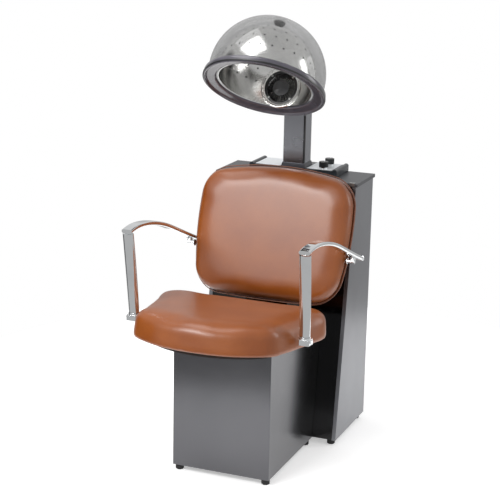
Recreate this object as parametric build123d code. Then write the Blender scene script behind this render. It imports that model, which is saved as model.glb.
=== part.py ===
from build123d import *
import os
from math import cos, radians, sin

# Salon dryer chair, millimetres.
# X is the sitter's left to right as seen from the front, -Y is the front, Z is up.
# Everything is laid out from the foot of the raked front panel, then moved back by DEPTH_SHIFT
# so that the origin is under the centre of the whole chair.

# ---- driving dimensions -------------------------------------------------------------------
DEPTH_SHIFT = 161.9
SHEET = 1.5
FOOT_HEIGHT = 18.0

TOWER_HALF_WIDTH = 239.0
TOWER_REAR = 295.0
TOWER_TOP = 846.0
TOWER_TOP_FRONT = 118.0
FLANGE_WIDTH = 13.0
COVER_OVERHANG = 5.0
COVER_LIP = 11.0

PEDESTAL_HALF_WIDTH = 159.0
PEDESTAL_FRONT = -388.0
PEDESTAL_FRONT_TOP = 438.2
PEDESTAL_REAR_TOP = 423.2
PEDESTAL_KNEE = -188.0
BEND_RADIUS = 2.5

SEAT_TILT = 4.3
SEAT_REAR = -183.6
SEAT_REAR_Z = 435.0
SEAT_THICKNESS = 86.0
SEAT_HALF_REAR = 298.0
SEAT_HALF_FRONT = 231.5
SEAT_CORNER_Y = -545.2
SEAT_NOSE_Y = -627.4
SEAT_FRONT_CORNER = 86.0
SEAT_REAR_CORNER = 74.0
BOARD_INSET = 44.0
BOARD_THICKNESS = 12.0

BACK_LEAN = 18.0
BACK_Y = -90.0
BACK_Z = 499.0
BACK_HALF_LOW = 233.0
BACK_HALF_TOP = 253.0
BACK_HEIGHT = 388.5
BACK_CORNER = 99.0
BACK_SIDE_BOW = 18.3
BACK_TOP_BOW = 33.7
BACK_LOW_BOW = 8.1
BACK_CUSHION = 50.0
BACK_BOARD = 13.0

ARM_X = 277.0
ARM_BAR = 34.0

CONSOLE_HALF = 152.0
CONSOLE_FRONT = 181.0
CONSOLE_REAR = 297.0
CONSOLE_TOP = 866.0
KNOB_X = 97.0
KNOB_Y = (206.0, 266.0)

POST_HALF_X = 37.0
POST_FRONT = 185.0
POST_DEPTH = 64.0
POST_WALL = 3.0
POST_BOTTOM = 776.0
POST_TOP = 1040.0
FLANGE_Z = 838.0
MAST_X = 60.0
MAST_Y = 50.0
MAST_BOTTOM = 800.0
MAST_TOP = 1068.0
TILT_Y = 155.0
TILT_Z = 1092.0
PIN_RADIUS = 6.0
RUNNING_GAP = 0.06

HOOD_Y = -92.9
HOOD_Z = 1161.0
HOOD_TILT = 33.2
SPHERE_RISE = 45.0
DOME_RADIUS = 180.0
DOME_WALL = 2.5
BOWL_RADIUS = 150.0
BOWL_WALL = 1.5
RIM_RADIUS = 190.0
BLOWER_ANGLE = 8.9
GRILLE_RADIUS = 53.5
HOUSING_RADIUS = 55.0
HOUSING_START = 140.6
HOUSING_END = 215.0
SHAFT_RADIUS = 3.0


# ---- placing helpers ----------------------------------------------------------------------
def block(x0, x1, y0, y1, z0, z1):
    """An axis-aligned box between two corners."""
    box = Box(x1 - x0, y1 - y0, z1 - z0)
    return Pos((x0 + x1) / 2, (y0 + y1) / 2, (z0 + z1) / 2) * box


def side_prism(points, x0, x1):
    """A solid whose side view is the (y, z) polygon, running from x0 to x1."""
    corners = [(x0, y, z) for y, z in points]
    face = make_face(Polyline(*corners, close=True))
    return extrude(face, amount=x1 - x0, dir=(1, 0, 0))


def rod(start, end, radius):
    """A round bar between two points."""
    a = Vector(*start)
    b = Vector(*end)
    plane = Plane(origin=a, z_dir=(b - a).normalized())
    return extrude(plane * Circle(radius), amount=(b - a).length)


def pair(solid):
    """A solid and its mirror image on the other side of the chair."""
    return Compound(children=[solid, mirror(solid, about=Plane.YZ)])


def rake_y(z):
    """Depth of the tower's raked front plane at a height."""
    return TOWER_TOP_FRONT * (z - FOOT_HEIGHT) / (TOWER_TOP - FOOT_HEIGHT)


def seat_place(solid):
    """Moves a solid drawn flat on the seat's underside to its tilted place."""
    return Pos(0, SEAT_REAR, SEAT_REAR_Z) * Rot(-SEAT_TILT, 0, 0) * solid


def back_place(solid):
    """Moves a solid drawn upright at the back's lower edge to its leaning place."""
    return Pos(0, BACK_Y, BACK_Z) * Rot(-BACK_LEAN, 0, 0) * solid


def hood_place(solid):
    """Moves a solid drawn with the rim flat at z = 0 to the tipped-back hood."""
    return Pos(0, HOOD_Y, HOOD_Z) * Rot(-HOOD_TILT, 0, 0) * solid


def blower_place(solid):
    """Moves a solid drawn along +Z from the bowl's centre to the blower's axis in the hood."""
    return hood_place(Pos(0, 0, SPHERE_RISE) * Rot(BLOWER_ANGLE - 90, 0, 0) * solid)


def disc(radius, start, end):
    """A round slice on the Z axis."""
    return Pos(0, 0, (start + end) / 2) * Cylinder(radius, end - start)


# ---- cabinet: pedestal ---------------------------------------------------------------------
def pedestal_shell():
    z0 = FOOT_HEIGHT
    outline = [
        (PEDESTAL_FRONT, z0),
        (PEDESTAL_FRONT, PEDESTAL_FRONT_TOP),
        (PEDESTAL_KNEE, PEDESTAL_REAR_TOP),
        (rake_y(PEDESTAL_REAR_TOP) - 0.6, PEDESTAL_REAR_TOP),
        (rake_y(z0) - 0.6, z0),
    ]
    w = PEDESTAL_HALF_WIDTH
    left = side_prism(outline, -w, -w + SHEET)
    right = side_prism(outline, w - SHEET, w)
    front = block(-w, w, PEDESTAL_FRONT, PEDESTAL_FRONT + SHEET, z0, PEDESTAL_FRONT_TOP)
    shell = left + right + front
    outer = [e for e in shell.edges().filter_by(Axis.Z) if abs(e.center().Y - PEDESTAL_FRONT) < 0.1]
    outer = [e for e in outer if abs(abs(e.center().X) - w) < 0.1]
    shell = fillet(outer, BEND_RADIUS)
    for side in (-1, 1):
        lip = block(-8.2, 8.2, PEDESTAL_FRONT + BEND_RADIUS, -2, z0, z0 + SHEET)
        shell += Pos(side * (w - 9), 0, 0) * lip
    return shell


def pedestal_top_plate():
    w = PEDESTAL_HALF_WIDTH - SHEET - 0.3
    y0 = PEDESTAL_FRONT + SHEET + 0.3
    y1 = rake_y(PEDESTAL_REAR_TOP - 6) - 1.2
    outline = [
        (y0, PEDESTAL_FRONT_TOP - 0.1),
        (PEDESTAL_KNEE, PEDESTAL_REAR_TOP),
        (y1, PEDESTAL_REAR_TOP),
        (y1, PEDESTAL_REAR_TOP - 3.0),
        (PEDESTAL_KNEE, PEDESTAL_REAR_TOP - 3.0),
        (y0, PEDESTAL_FRONT_TOP - 3.1),
    ]
    plate = side_prism(outline, -w, w)
    for x in (-110, 110):
        for y in (-350, -200):
            plate -= Pos(x, y - 0.9, 420) * Cylinder(5.2, 40)
    for x in (-90, 90):
        for y in (-84, -56):
            plate -= Pos(x, y, PEDESTAL_REAR_TOP) * Cylinder(4.5, 20)
    return plate


def pedestal_base_frame():
    w = PEDESTAL_HALF_WIDTH - SHEET - 0.3
    y0 = PEDESTAL_FRONT + SHEET + 0.3
    z0 = FOOT_HEIGHT + SHEET + 0.2
    frame = block(-w, w, y0, -4, z0, z0 + 3)
    frame -= block(-w + 32, w - 32, y0 + 32, -36, z0 - 1, z0 + 4)
    return frame


# ---- cabinet: tower ------------------------------------------------------------------------
def tower_side(sign):
    z0 = FOOT_HEIGHT
    z1 = TOWER_TOP - SHEET - 0.3
    w = TOWER_HALF_WIDTH
    outline = [(rake_y(z0), z0), (rake_y(z1), z1), (TOWER_REAR, z1), (TOWER_REAR, z0)]
    side = side_prism(outline, w - SHEET, w)
    strip = [
        (rake_y(z0), z0),
        (rake_y(z1), z1),
        (rake_y(z1) + SHEET, z1),
        (rake_y(z0) + SHEET, z0),
    ]
    side += side_prism(strip, w - FLANGE_WIDTH, w)
    side += block(w - 18, w, TOWER_REAR - SHEET, TOWER_REAR, z0, z1)
    side += block(w - 18, w, 12, TOWER_REAR, z0, z0 + SHEET)
    if sign < 0:
        side = mirror(side, about=Plane.YZ)
    return side


def tower_front_panel():
    z0 = FOOT_HEIGHT + 0.5
    z1 = TOWER_TOP - SHEET - 1.0
    gap = SHEET + 0.2
    w = TOWER_HALF_WIDTH - SHEET - 0.3
    outline = [
        (rake_y(z0) + gap, z0),
        (rake_y(z1) + gap, z1),
        (rake_y(z1) + gap + SHEET, z1),
        (rake_y(z0) + gap + SHEET, z0),
    ]
    return side_prism(outline, -w, w)


def tower_back_panel():
    w = TOWER_HALF_WIDTH - 3
    y1 = TOWER_REAR - SHEET - 0.2
    panel = block(-w, w, y1 - SHEET, y1, FOOT_HEIGHT + 4, TOWER_TOP - 6)
    for row in range(8):
        z = 640 + row * 16
        panel -= block(-70, 70, y1 - 5, y1 + 5, z, z + 5)
    panel -= Pos(-150, y1, 90) * Rot(90, 0, 0) * Cylinder(8.1, 20)
    return panel


def tower_floor():
    w = TOWER_HALF_WIDTH - SHEET - 0.3
    z0 = FOOT_HEIGHT + SHEET + 0.2
    return block(-w, w, 6, TOWER_REAR - 4, z0, z0 + 2)


def tower_top_cover():
    w = TOWER_HALF_WIDTH + COVER_OVERHANG
    y0 = TOWER_TOP_FRONT - 4.0
    y1 = TOWER_REAR + COVER_OVERHANG
    z1 = TOWER_TOP
    cover = block(-w, w, y0, y1, z1 - COVER_LIP, z1)
    inner = block(-w + SHEET, w - SHEET, y0 + SHEET, y1 - SHEET, z1 - COVER_LIP - 1, z1 - SHEET)
    cover -= inner
    rim = cover.edges().group_by(Axis.Z)[-1]
    cover = fillet(rim, 1.2)
    x = POST_HALF_X + 0.5
    post = block(-x, x, POST_FRONT - 0.5, POST_FRONT + POST_DEPTH + 0.5, z1 - 20, z1 + 5)
    cover -= post
    for y in KNOB_Y:
        cover -= Pos(KNOB_X, y, z1) * Box(50, 50, 20)
    return cover


def cover_corner_clips():
    clips = []
    w = TOWER_HALF_WIDTH
    for side in (-1, 1):
        clip = block(-9, 9, -12, 0, 0, 1.6) + block(-9, 9, -12, -10.6, -9, 1.6)
        clip -= Pos(0, -5.6, 0) * Cylinder(2.2, 10)
        clip = Pos(side * (w - 14), TOWER_TOP_FRONT + 6.4, TOWER_TOP + 0.1) * clip
        clips.append(clip)
    return Compound(children=clips)


def rubber_feet():
    feet = []
    w = PEDESTAL_HALF_WIDTH
    t = TOWER_HALF_WIDTH
    spots = [(-w + 16, PEDESTAL_FRONT + 18), (w - 16, PEDESTAL_FRONT + 18)]
    spots += [(-w + 16, -24), (w - 16, -24)]
    spots += [(-t + 22, 22), (t - 22, 22), (-t + 22, TOWER_REAR - 22), (t - 22, TOWER_REAR - 22)]
    for x, y in spots:
        foot = Cylinder(13, FOOT_HEIGHT - 0.2)
        foot = chamfer(foot.edges().group_by(Axis.Z)[0], 2)
        feet.append(Pos(x, y, (FOOT_HEIGHT - 0.2) / 2) * foot)
    return Compound(children=feet)


# ---- seat ----------------------------------------------------------------------------------
def seat_outline(inset):
    rear = SEAT_HALF_REAR - inset
    front = SEAT_HALF_FRONT - inset
    corner = SEAT_CORNER_Y - SEAT_REAR + inset
    nose = SEAT_NOSE_Y - SEAT_REAR + inset
    top = Line((-rear, -inset), (rear, -inset))
    right = Line((rear, -inset), (front, corner))
    bow = ThreePointArc((front, corner), (0, nose), (-front, corner))
    left = Line((-front, corner), (-rear, -inset))
    face = make_face([top, right, bow, left])
    back_corners = face.vertices().group_by(Axis.Y)[-1]
    face = fillet(back_corners, SEAT_REAR_CORNER - inset / 2)
    front_corners = face.vertices().sort_by(Axis.Y)
    sharp = [v for v in front_corners if abs(v.Y - corner) < 1.0 and abs(abs(v.X) - front) < 1.0]
    return fillet(sharp, SEAT_FRONT_CORNER - inset / 2)


def seat_cushion():
    body = extrude(seat_outline(0), amount=SEAT_THICKNESS)
    body = fillet(body.edges().group_by(Axis.Z)[-1], 30)
    body = fillet(body.edges().group_by(Axis.Z)[0], 12)
    return seat_place(body)


def seat_board():
    board = Pos(0, 0, -0.3) * extrude(seat_outline(BOARD_INSET), amount=-BOARD_THICKNESS + 0.6)
    for x in (-110, 110):
        for y in (-350, -200):
            board -= Pos(x, y - SEAT_REAR, 0) * Cylinder(4.5, 60)
    return seat_place(board)


def frame_bolts():
    bolts = []
    for x in (-110, 110):
        for y in (-350, -200):
            head = Pos(0, 0, -19.4) * Cylinder(8, 5)
            stem = Pos(0, 0, -9.6) * Cylinder(4, 15)
            bolts.append(seat_place(Pos(x, y - SEAT_REAR, 0) * (head + stem)))
    return Compound(children=bolts + back_bolts())


# ---- back ----------------------------------------------------------------------------------
def back_outline(inset):
    low = BACK_HALF_LOW - inset
    top = BACK_HALF_TOP - inset
    h0 = inset
    h1 = BACK_HEIGHT - inset
    side = (low + top) / 2 + BACK_SIDE_BOW
    mid = (h0 + h1) / 2
    right = ThreePointArc((low, 0, h0), (side, 0, mid), (top, 0, h1))
    crown = ThreePointArc((top, 0, h1), (0, 0, h1 + BACK_TOP_BOW), (-top, 0, h1))
    left = ThreePointArc((-top, 0, h1), (-side, 0, mid), (-low, 0, h0))
    foot = ThreePointArc((-low, 0, h0), (0, 0, h0 - BACK_LOW_BOW), (low, 0, h0))
    face = make_face([right, crown, left, foot])
    return fillet(face.vertices(), BACK_CORNER - inset / 2)


def back_slab(inset, y0, y1):
    face = back_outline(inset)
    slab = extrude(face, amount=y1 - y0, dir=(0, 1, 0))
    return Pos(0, y0, 0) * slab


def back_cushion():
    slab = back_slab(0, 0, BACK_CUSHION)
    slab = fillet(slab.edges().group_by(Axis.Y)[0], 22)
    slab = fillet(slab.edges().group_by(Axis.Y)[-1], 5)
    return back_place(slab)


def back_board():
    y0 = BACK_CUSHION + 2.6
    board = back_slab(3, y0, y0 + BACK_BOARD)
    board = fillet(board.edges().group_by(Axis.Y)[-1], 4)
    board += back_slab(14, BACK_CUSHION + 0.3, y0 + 1)
    for x in (-90, 90):
        for z in (60, 130):
            board -= Pos(x, y0 + BACK_BOARD, z) * Rot(90, 0, 0) * Cylinder(3.5, 16)
    return back_place(board)


def back_supports():
    bars = []
    y0 = BACK_CUSHION + 2.6 + BACK_BOARD + 0.2
    c = cos(radians(BACK_LEAN))
    s = sin(radians(BACK_LEAN))

    def at(depth, rise):
        return (BACK_Y + depth * c + rise * s, BACK_Z - depth * s + rise * c)

    z_plate = PEDESTAL_REAR_TOP + 0.2
    low = (z_plate + 6 - BACK_Z + y0 * s) / c
    low_out = (z_plate - BACK_Z + (y0 + 6) * s) / c
    outline = [
        at(y0, low),
        at(y0, 165),
        at(y0 + 6, 165),
        at(y0 + 6, low_out),
        (-112, z_plate),
        (-112, z_plate + 6),
    ]
    for x in (-90, 90):
        bar = side_prism(outline, x - 20, x + 20)
        for z in (60, 130):
            hole = back_place(Pos(x, y0 + 3, z) * Rot(90, 0, 0) * Cylinder(3.5, 16))
            bar -= hole
        for y in (-84, -56):
            bar -= Pos(x, y, z_plate) * Cylinder(4.5, 30)
        bars.append(bar)
    return Compound(children=bars)


def back_bolts():
    bolts = []
    y0 = BACK_CUSHION + 2.6 + BACK_BOARD + 0.2
    z_plate = PEDESTAL_REAR_TOP + 0.2
    for x in (-90, 90):
        for z in (60, 130):
            head = Pos(0, y0 + 8.2, 0) * Rot(90, 0, 0) * Cylinder(6, 4)
            stem = Pos(0, y0 + 0.2, 0) * Rot(90, 0, 0) * Cylinder(3.2, 13)
            bolts.append(back_place(Pos(x, 0, z) * (head + stem)))
        for y in (-84, -56):
            head = Pos(x, y, z_plate + 8.2) * Cylinder(7, 4)
            stem = Pos(x, y, z_plate - 0.5) * Cylinder(4, 14)
            bolts.append(head + stem)
    return bolts


# ---- arms ----------------------------------------------------------------------------------
def arm_post(sign):
    across = (1, 0, 0)
    foot_plane = Plane(origin=(ARM_X - 3, -424, 504), x_dir=across, z_dir=(0, -0.115, 1))
    mid_plane = Plane(origin=(ARM_X, -440, 650), x_dir=across, z_dir=(0, -0.115, 1))
    top_plane = Plane(origin=(ARM_X + 2, -454, 754), x_dir=across, z_dir=(0, -0.12, 1))
    sections = [
        foot_plane * Ellipse(16.5, 11),
        mid_plane * Ellipse(17.5, 12),
        top_plane * Ellipse(17.5, 12),
    ]
    post = loft(sections)
    return post if sign > 0 else mirror(post, about=Plane.YZ)


def rail_points():
    return [
        (-463.0, 762.0),
        (-425.0, 767.0),
        (-360.0, 764.0),
        (-290.0, 751.0),
        (-220.0, 731.0),
        (-150.0, 704.0),
        (-70.0, 671.0),
        (0.0, 643.0),
        (42.0, 627.0),
    ]


def arm_rail(sign):
    points = [(ARM_X + 2, y, z) for y, z in rail_points()]
    path = Spline(*points)
    start = Plane(origin=path @ 0, x_dir=(1, 0, 0), z_dir=path % 0)
    section = start * RectangleRounded(ARM_BAR, 13, 6)
    rail = sweep(section, path=path)
    return rail if sign > 0 else mirror(rail, about=Plane.YZ)


def arm_end_caps():
    points = [(ARM_X + 2, y, z) for y, z in rail_points()]
    path = Spline(*points)
    end = Plane(origin=path @ 1, x_dir=(1, 0, 0), z_dir=path % 1)
    return pair(extrude(end.offset(0.2) * RectangleRounded(ARM_BAR + 3, 16, 7), amount=5))


def arm_feet():
    foot = block(258.3, 293.5, -441, -407, 480, 497)
    foot = fillet(foot.edges().filter_by(Axis.Z), 5)
    collar = Pos(ARM_X - 3, -423.5, 495.5) * Rot(6.5, 0, 0) * extrude(Ellipse(18, 13), amount=7.9)
    foot = foot + collar
    foot -= Pos(270, -424, 488.5) * Rot(0, 90, 0) * Cylinder(4.1, 60)
    return pair(foot)


def arm_bolts():
    stem = Pos(276.5, -424, 488.5) * Rot(0, 90, 0) * Cylinder(4, 34.4)
    head = Pos(295.4, -424, 488.5) * Rot(0, 90, 0) * Cylinder(7, 3.6)
    return pair(stem + head)


def rail_stand_offs():
    y = -11.3
    z = 626.6
    peg = rod((259.5, y, z), (ARM_X + 8, y, z), 7)
    collar = rod((259.5, y, z), (261.6, y, z), 10)
    boss = rod((ARM_X + 2, y, z), (ARM_X + 2, y + 4.7, z + 11.6), 8)
    return pair(peg + collar + boss)


# ---- console -------------------------------------------------------------------------------
def console_tray():
    z0 = TOWER_TOP + 0.2
    h = CONSOLE_HALF - 16
    tray = block(-h, h, CONSOLE_FRONT, CONSOLE_REAR, z0, CONSOLE_TOP)
    tray -= block(-h + 2, h - 2, CONSOLE_FRONT + 2, CONSOLE_REAR - 2, z0 - 1, CONSOLE_TOP - 2.5)
    x = POST_HALF_X + 0.5
    tray -= block(-x, x, POST_FRONT - 0.5, POST_FRONT + POST_DEPTH + 0.5, z0 - 5, CONSOLE_TOP + 5)
    for y in KNOB_Y:
        tray -= Pos(KNOB_X, y, CONSOLE_TOP) * Cylinder(5, 20)
    return tray


def console_ends():
    h = CONSOLE_HALF
    bar = block(h - 15.8, h, CONSOLE_FRONT - 3, CONSOLE_REAR + 3, TOWER_TOP + 0.2, CONSOLE_TOP + 5)
    bar = fillet(bar.edges().filter_by(Axis.Y).group_by(Axis.Z)[-1], 7)
    return pair(bar)


def label_plate(sign):
    z0 = CONSOLE_TOP + 0.1
    if sign > 0:
        plate = block(47, 132, CONSOLE_FRONT + 5, CONSOLE_REAR - 4, z0, z0 + 1.2)
        for y in KNOB_Y:
            plate -= Pos(KNOB_X, y, z0) * Cylinder(5, 10)
        return plate
    return block(-132, -47, CONSOLE_FRONT + 5, CONSOLE_REAR - 4, z0, z0 + 1.2)


def control_body(y, depth):
    z1 = CONSOLE_TOP - 2.7
    body = Pos(KNOB_X, y, z1 - depth / 2) * Box(44, 44, depth)
    body = fillet(body.edges().filter_by(Axis.Z), 4)
    bush = Pos(KNOB_X, y, z1 + 0.4) * Cylinder(4.8, 3)
    body = body + bush
    body -= Pos(KNOB_X, y, z1) * Cylinder(SHAFT_RADIUS + RUNNING_GAP, 30)
    return body


def control_shaft(y):
    shaft = Pos(KNOB_X, y, CONSOLE_TOP + 4) * Cylinder(SHAFT_RADIUS, 30)
    skirt = Pos(KNOB_X, y, CONSOLE_TOP + 3.5) * Cylinder(13, 3.8)
    return shaft + skirt


def control_knob(y):
    z0 = CONSOLE_TOP + 5.6
    knob = Cylinder(15, 18)
    knob = fillet(knob.edges().group_by(Axis.Z)[-1], 1.5)
    for k in range(20):
        groove = Rot(0, 0, k * 18) * (Pos(15.4, 0, -1) * Cylinder(1.1, 18))
        knob -= groove
    knob = Pos(KNOB_X, y, z0 + 9) * knob
    knob -= Pos(KNOB_X, y, CONSOLE_TOP + 4) * Cylinder(SHAFT_RADIUS, 30)
    return knob


# ---- post and mast -------------------------------------------------------------------------
def post_tube():
    y0 = POST_FRONT
    y1 = POST_FRONT + POST_DEPTH
    x = POST_HALF_X
    tube = block(-x, x, y0, y1, POST_BOTTOM, POST_TOP)
    tube = fillet(tube.edges().filter_by(Axis.Z), 3)
    w = POST_WALL
    tube -= block(-x + w, x - w, y0 + w, y1 - w, POST_BOTTOM - 1, POST_TOP + 1)
    boss = Pos(0, y1 + 4.6, 1016) * Rot(90, 0, 0) * Cylinder(11, 11)
    flange = block(-x - 22, x + 20, y0 - 22, y1 + 22, FLANGE_Z, FLANGE_Z + 6)
    flange -= block(-x + w, x - w, y0 + w, y1 - w, FLANGE_Z - 1, FLANGE_Z + 7)
    tube = tube + boss + flange
    tube -= Pos(0, y1, 1016) * Rot(90, 0, 0) * Cylinder(4 + RUNNING_GAP, 40)
    return tube


def post_edge_strip():
    x = POST_HALF_X
    strip = block(x - 5, x + 0.9, POST_FRONT - 0.9, POST_FRONT - 0.1, CONSOLE_TOP + 16, POST_TOP - 2)
    side = block(x + 0.1, x + 0.9, POST_FRONT - 0.9, POST_FRONT + 5, CONSOLE_TOP + 16, POST_TOP - 2)
    return strip + side


def post_collar():
    z0 = CONSOLE_TOP + 0.1
    y_mid = POST_FRONT + POST_DEPTH / 2
    low = Plane(origin=(0, y_mid, z0)) * Rectangle(2 * POST_HALF_X + 10, POST_DEPTH + 7)
    high = Plane(origin=(0, y_mid, z0 + 14)) * Rectangle(2 * POST_HALF_X + 3, POST_DEPTH + 3)
    collar = loft([low, high])
    x = POST_HALF_X + 0.1
    collar -= block(-x, x, POST_FRONT - 0.1, POST_FRONT + POST_DEPTH + 0.1, z0 - 1, z0 + 20)
    return collar


def post_bushing():
    y_mid = POST_FRONT + POST_DEPTH / 2
    x = POST_HALF_X
    head = Pos(0, y_mid, POST_TOP + 6.1) * Box(2 * x + 2, POST_DEPTH + 2, 12)
    head = fillet(head.edges().group_by(Axis.Z)[-1], 3)
    skirt = Pos(0, y_mid, POST_TOP - 9.9) * Box(2 * x - 6.2, POST_DEPTH - 6.2, 20.2)
    bushing = head + skirt
    gap = RUNNING_GAP
    bushing -= Pos(0, y_mid, POST_TOP) * Box(MAST_X + 2 * gap, MAST_Y + 2 * gap, 80)
    bushing -= Pos(0, y_mid + 30, 1016) * Rot(90, 0, 0) * Cylinder(7, 20)
    return bushing


def lock_screw():
    y1 = POST_FRONT + POST_DEPTH
    start = POST_FRONT + POST_DEPTH / 2 + MAST_Y / 2 + 0.1
    return rod((0, start, 1016), (0, y1 + 22, 1016), 4)


def lock_knob():
    y1 = POST_FRONT + POST_DEPTH
    knob = Pos(0, y1 + 21, 1016) * Rot(90, 0, 0) * Cylinder(13, 18)
    for k in range(6):
        lobe = Rot(0, k * 60, 0) * (Pos(14, 0, 0) * Rot(90, 0, 0) * Cylinder(6, 18))
        knob += Pos(0, y1 + 21, 1016) * lobe
    knob -= Pos(0, y1 + 12, 1016) * Rot(90, 0, 0) * Cylinder(4, 20)
    return knob


def mast_tube():
    y_mid = POST_FRONT + POST_DEPTH / 2
    tube = Pos(0, y_mid, (MAST_BOTTOM + MAST_TOP) / 2) * Box(MAST_X, MAST_Y, MAST_TOP - MAST_BOTTOM)
    hollow = Pos(0, y_mid, (MAST_BOTTOM + MAST_TOP) / 2)
    tube -= hollow * Box(MAST_X - 4, MAST_Y - 4, MAST_TOP - MAST_BOTTOM + 2)
    return tube


def mast_slider():
    y_mid = POST_FRONT + POST_DEPTH / 2
    outer = Box(2 * (POST_HALF_X - POST_WALL - RUNNING_GAP), POST_DEPTH - 2 * POST_WALL - 0.12, 30)
    shoe = Pos(0, y_mid, MAST_BOTTOM + 15) * outer
    shoe -= Pos(0, y_mid, MAST_BOTTOM + 15) * Box(MAST_X, MAST_Y, 60)
    return shoe


def mast_head():
    y_mid = POST_FRONT + POST_DEPTH / 2
    z0 = MAST_TOP + 0.1
    cap = Pos(0, y_mid, z0 + 4) * Box(MAST_X + 6, MAST_Y + 6, 8)
    plug = Pos(0, y_mid, z0 - 9) * Box(MAST_X - 4.4, MAST_Y - 4.4, 18)
    head = cap + plug
    for side in (-1, 1):
        outline = [
            (y_mid + 25, z0 + 4),
            (y_mid - 28, z0 + 4),
            (TILT_Y - 8, TILT_Z - 14),
            (TILT_Y - 14, TILT_Z - 2),
            (TILT_Y - 12, TILT_Z + 9),
            (TILT_Y - 3, TILT_Z + 14.5),
            (TILT_Y + 10, TILT_Z + 14),
            (y_mid + 10, z0 + 30),
            (y_mid + 25, z0 + 24),
        ]
        cheek = side_prism(outline, 23, 31)
        cheek -= rod((20, TILT_Y, TILT_Z), (40, TILT_Y, TILT_Z), PIN_RADIUS)
        head += cheek if side > 0 else mirror(cheek, about=Plane.YZ)
    return head


def hinge_pin():
    pin = rod((-31, TILT_Y, TILT_Z), (31, TILT_Y, TILT_Z), PIN_RADIUS)
    for side in (-1, 1):
        cap = rod((31, TILT_Y, TILT_Z), (34, TILT_Y, TILT_Z), 10)
        pin += cap if side > 0 else mirror(cap, about=Plane.YZ)
    return pin


# ---- hood ----------------------------------------------------------------------------------
def spun(points):
    """Spins an (r, z) polygon about Z."""
    corners = [(r, 0, z) for r, z in points]
    face = make_face(Polyline(*corners, close=True))
    return revolve(face, axis=Axis.Z)


def cap_shell(outer, wall, cut):
    """A thin spherical shell about the bowl's centre, open below the height cut."""
    centre = Pos(0, 0, SPHERE_RISE)
    shell = centre * (Sphere(outer) - Sphere(outer - wall))
    return shell - Pos(0, 0, cut - 300) * Box(900, 900, 600)


def blower_axis_tool(solid):
    return Pos(0, 0, SPHERE_RISE) * Rot(BLOWER_ANGLE - 90, 0, 0) * solid


def hood_dome():
    dome = cap_shell(DOME_RADIUS, DOME_WALL, 11)
    dome -= blower_axis_tool(disc(HOUSING_RADIUS + 0.5, 100, 260))
    dome -= Pos(0, 0, 230) * Cylinder(16, 40)
    return hood_place(dome)


def dome_vent_plug():
    top = SPHERE_RISE + DOME_RADIUS
    plug = Pos(0, 0, top + 0.5) * Cylinder(19, 2.2)
    plug = fillet(plug.edges().group_by(Axis.Z)[-1], 1.2)
    plug += Pos(0, 0, top - 4.4) * Cylinder(15.8, 6)
    for k in range(5):
        plug -= Pos(0, -10 + k * 5, top) * Box(20, 1.6, 20)
    return hood_place(plug)


def inner_bowl():
    bowl = cap_shell(BOWL_RADIUS, BOWL_WALL, 9)
    bowl -= blower_axis_tool(disc(GRILLE_RADIUS + 0.7, 100, 200))
    cutters = []
    for row, count in ((12, 26), (27, 24), (42, 20), (57, 14), (72, 7)):
        for k in range(count):
            turn = 360 * (k + 0.5 * (row % 2)) / count
            near_rear = min(abs(turn - 90), abs(turn - 450)) < 34
            if near_rear and row < 40:
                continue
            cutter = Pos(BOWL_RADIUS, 0, 0) * Rot(0, 90, 0) * Cylinder(2.2, 12)
            cutter = Rot(0, -row, 0) * cutter
            cutters.append(Pos(0, 0, SPHERE_RISE) * Rot(0, 0, turn) * cutter)
    for k in range(16):
        ring = Rot(0, 0, k * 22.5) * Pos(61, 0, 136) * Rot(0, 24, 0) * Cylinder(2.2, 16)
        cutters.append(blower_axis_tool(ring))
    bowl = bowl - cutters
    return hood_place(bowl)


def rim_ring():
    profile = [
        (150.0, 7.6),
        (151.6, 4.2),
        (156.0, 2.6),
        (166.0, 1.4),
        (176.0, 0.2),
        (180.0, -1.4),
        (182.4, -4.0),
        (184.6, -5.6),
        (187.2, -5.2),
        (189.2, -2.6),
        (190.0, 2.0),
        (190.0, 9.0),
        (189.0, 13.5),
        (186.0, 16.2),
        (181.0, 17.2),
        (178.4, 16.4),
        (178.4, 10.6),
        (172.0, 9.6),
        (160.0, 8.8),
        (152.0, 8.4),
    ]
    return hood_place(spun(profile))


def rim_trim():
    profile = [
        (190.2, -3.6),
        (191.4, -2.6),
        (191.6, -0.4),
        (191.4, 1.4),
        (190.2, 2.2),
        (190.1, 2.2),
        (190.1, -0.4),
        (189.5, -2.6),
    ]
    return hood_place(spun(profile))


def blower_housing():
    inner = HOUSING_RADIUS - 2.5
    housing = disc(HOUSING_RADIUS, HOUSING_START, HOUSING_END)
    housing -= disc(inner, HOUSING_START + 2.5, HOUSING_END - 3)
    housing -= disc(46, HOUSING_START - 5, HOUSING_START + 5)
    for k in range(6):
        window = Pos(inner, 0, 158) * Box(16, 34, 20)
        housing -= Rot(0, 0, k * 60 + 30) * window
    for k in range(4):
        hole = Pos(49, 0, HOUSING_START) * Cylinder(1.6, 10)
        housing -= Rot(0, 0, 45 + k * 90) * hole
    return blower_place(housing)


def intake_grille():
    start = 134.0
    end = 140.2
    grille = disc(GRILLE_RADIUS, start, end) - disc(45, start - 5, end + 5)
    for radius in (18, 27, 36):
        grille += disc(radius + 1.2, start + 2, end - 1) - disc(radius - 1.2, start, end)
    for k in range(16):
        vane = Pos(29, 0, (start + end) / 2 + 0.5) * Box(34, 2, 4)
        grille += Rot(0, 0, k * 22.5) * vane
    grille += disc(14, start + 1, end)
    for k in range(4):
        grille -= Rot(0, 0, 45 + k * 90) * (Pos(49, 0, start) * Cylinder(1.7, 30))
    return blower_place(grille)


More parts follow.
